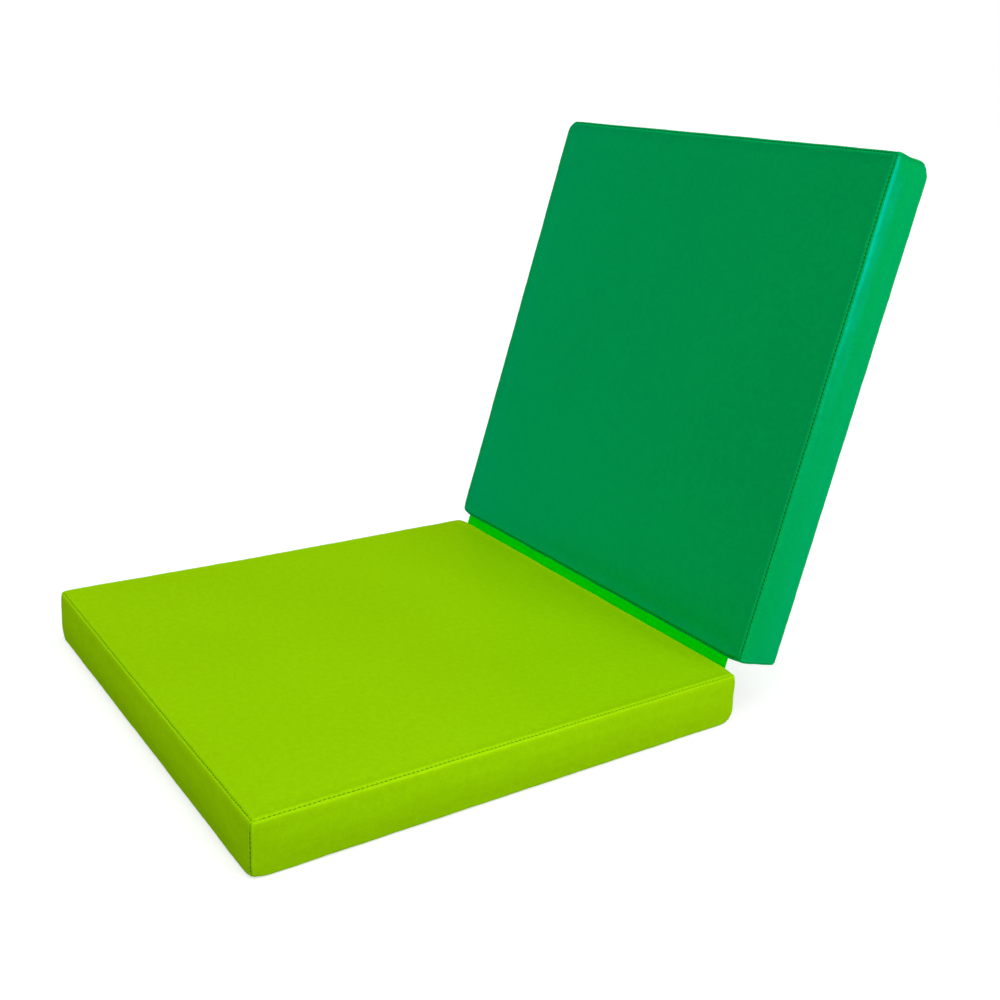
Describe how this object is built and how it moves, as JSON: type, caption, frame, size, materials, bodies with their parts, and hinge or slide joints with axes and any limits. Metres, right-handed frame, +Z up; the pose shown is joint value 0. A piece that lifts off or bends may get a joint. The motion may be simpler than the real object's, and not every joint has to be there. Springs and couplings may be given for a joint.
{
  "type": "folding landing mat",
  "caption": "Folding landing mat: two square foam pads in sewn, zipped vinyl covers, joined along one face edge by a fabric hinge strip, one pad flat and the other raised.",
  "frame": {"origin": "centre of the base pad's underside, on the floor", "axes": "+X along the hinge, +Y from the base pad's free end towards the hinge, +Z up"},
  "size_m": [0.606, 0.8281, 0.6516],
  "materials": {
    "lime_vinyl": "satin",
    "green_vinyl": "satin",
    "strip_vinyl": "satin",
    "foam": "matte",
    "zip_tape": "matte",
    "zip_coil": "satin",
    "zip_metal": "satin",
    "lime_thread": "matte",
    "green_thread": "matte"
  },
  "bodies": {
    "base_pad": {"base_foam_core": "foam", "base_face_sheet": "lime_vinyl", "base_underside_sheet": "lime_vinyl", "base_end_wall": "lime_vinyl", "base_hinge_wall": "lime_vinyl", "base_right_wall": "lime_vinyl", "base_zip_wall_upper": "lime_vinyl", "base_zip_wall_lower": "lime_vinyl", "base_zip_tape_upper": "zip_tape", "base_zip_tape_lower": "zip_tape", "base_zip_coil": "zip_coil", "base_zip_stops": "zip_metal", "base_face_seam_thread": "lime_thread", "base_underside_seam_thread": "lime_thread", "base_corner_seam_threads": "lime_thread", "base_zip_seam_threads": "lime_thread"},
    "base_slider": {"base_zip_slider": "zip_metal"},
    "base_pull": {"base_zip_pull": "zip_metal"},
    "rear_pad": {"rear_foam_core": "foam", "rear_face_sheet": "green_vinyl", "rear_underside_sheet": "green_vinyl", "rear_end_wall": "green_vinyl", "rear_hinge_wall": "green_vinyl", "rear_right_wall": "green_vinyl", "rear_zip_wall_upper": "green_vinyl", "rear_zip_wall_lower": "green_vinyl", "rear_zip_tape_upper": "zip_tape", "rear_zip_tape_lower": "zip_tape", "rear_zip_coil": "zip_coil", "rear_zip_stops": "zip_metal", "rear_face_seam_thread": "green_thread", "rear_underside_seam_thread": "green_thread", "rear_corner_seam_threads": "green_thread", "rear_zip_seam_threads": "green_thread"},
    "rear_slider": {"rear_zip_slider": "zip_metal"},
    "rear_pull": {"rear_zip_pull": "zip_metal"},
    "strip": {"hinge_strip": "strip_vinyl"}
  },
  "joints": [
    {"name": "strip_fold", "type": "hinge", "parent": "base_pad", "child": "strip", "pos_m": [0, 0.3, 0.06], "axis": [1, 0, 0], "range_deg": [-74, 16]},
    {"name": "rear_fold", "type": "hinge", "parent": "strip", "child": "rear_pad", "pos_m": [0, 0.30413, 0.07442], "axis": [1, 0, 0], "range_deg": [0, 90]},
    {"name": "base_zip_slide", "type": "slide", "parent": "base_pad", "child": "base_slider", "axis": [0, -1, 0], "range_m": [0, 0.52]},
    {"name": "base_pull_flip", "type": "hinge", "parent": "base_slider", "child": "base_pull", "pos_m": [-0.3029, 0.26, 0.03], "axis": [0, 0, -1], "range_deg": [0, 180]},
    {"name": "rear_zip_slide", "type": "slide", "parent": "rear_pad", "child": "rear_slider", "axis": [0, 0.2756, 0.9613], "range_m": [0, 0.52]},
    {"name": "rear_pull_flip", "type": "hinge", "parent": "rear_slider", "child": "rear_pull", "pos_m": [-0.3029, 0.344, 0.1046], "axis": [0, -0.9613, 0.2756], "range_deg": [0, 180]}
  ]
}
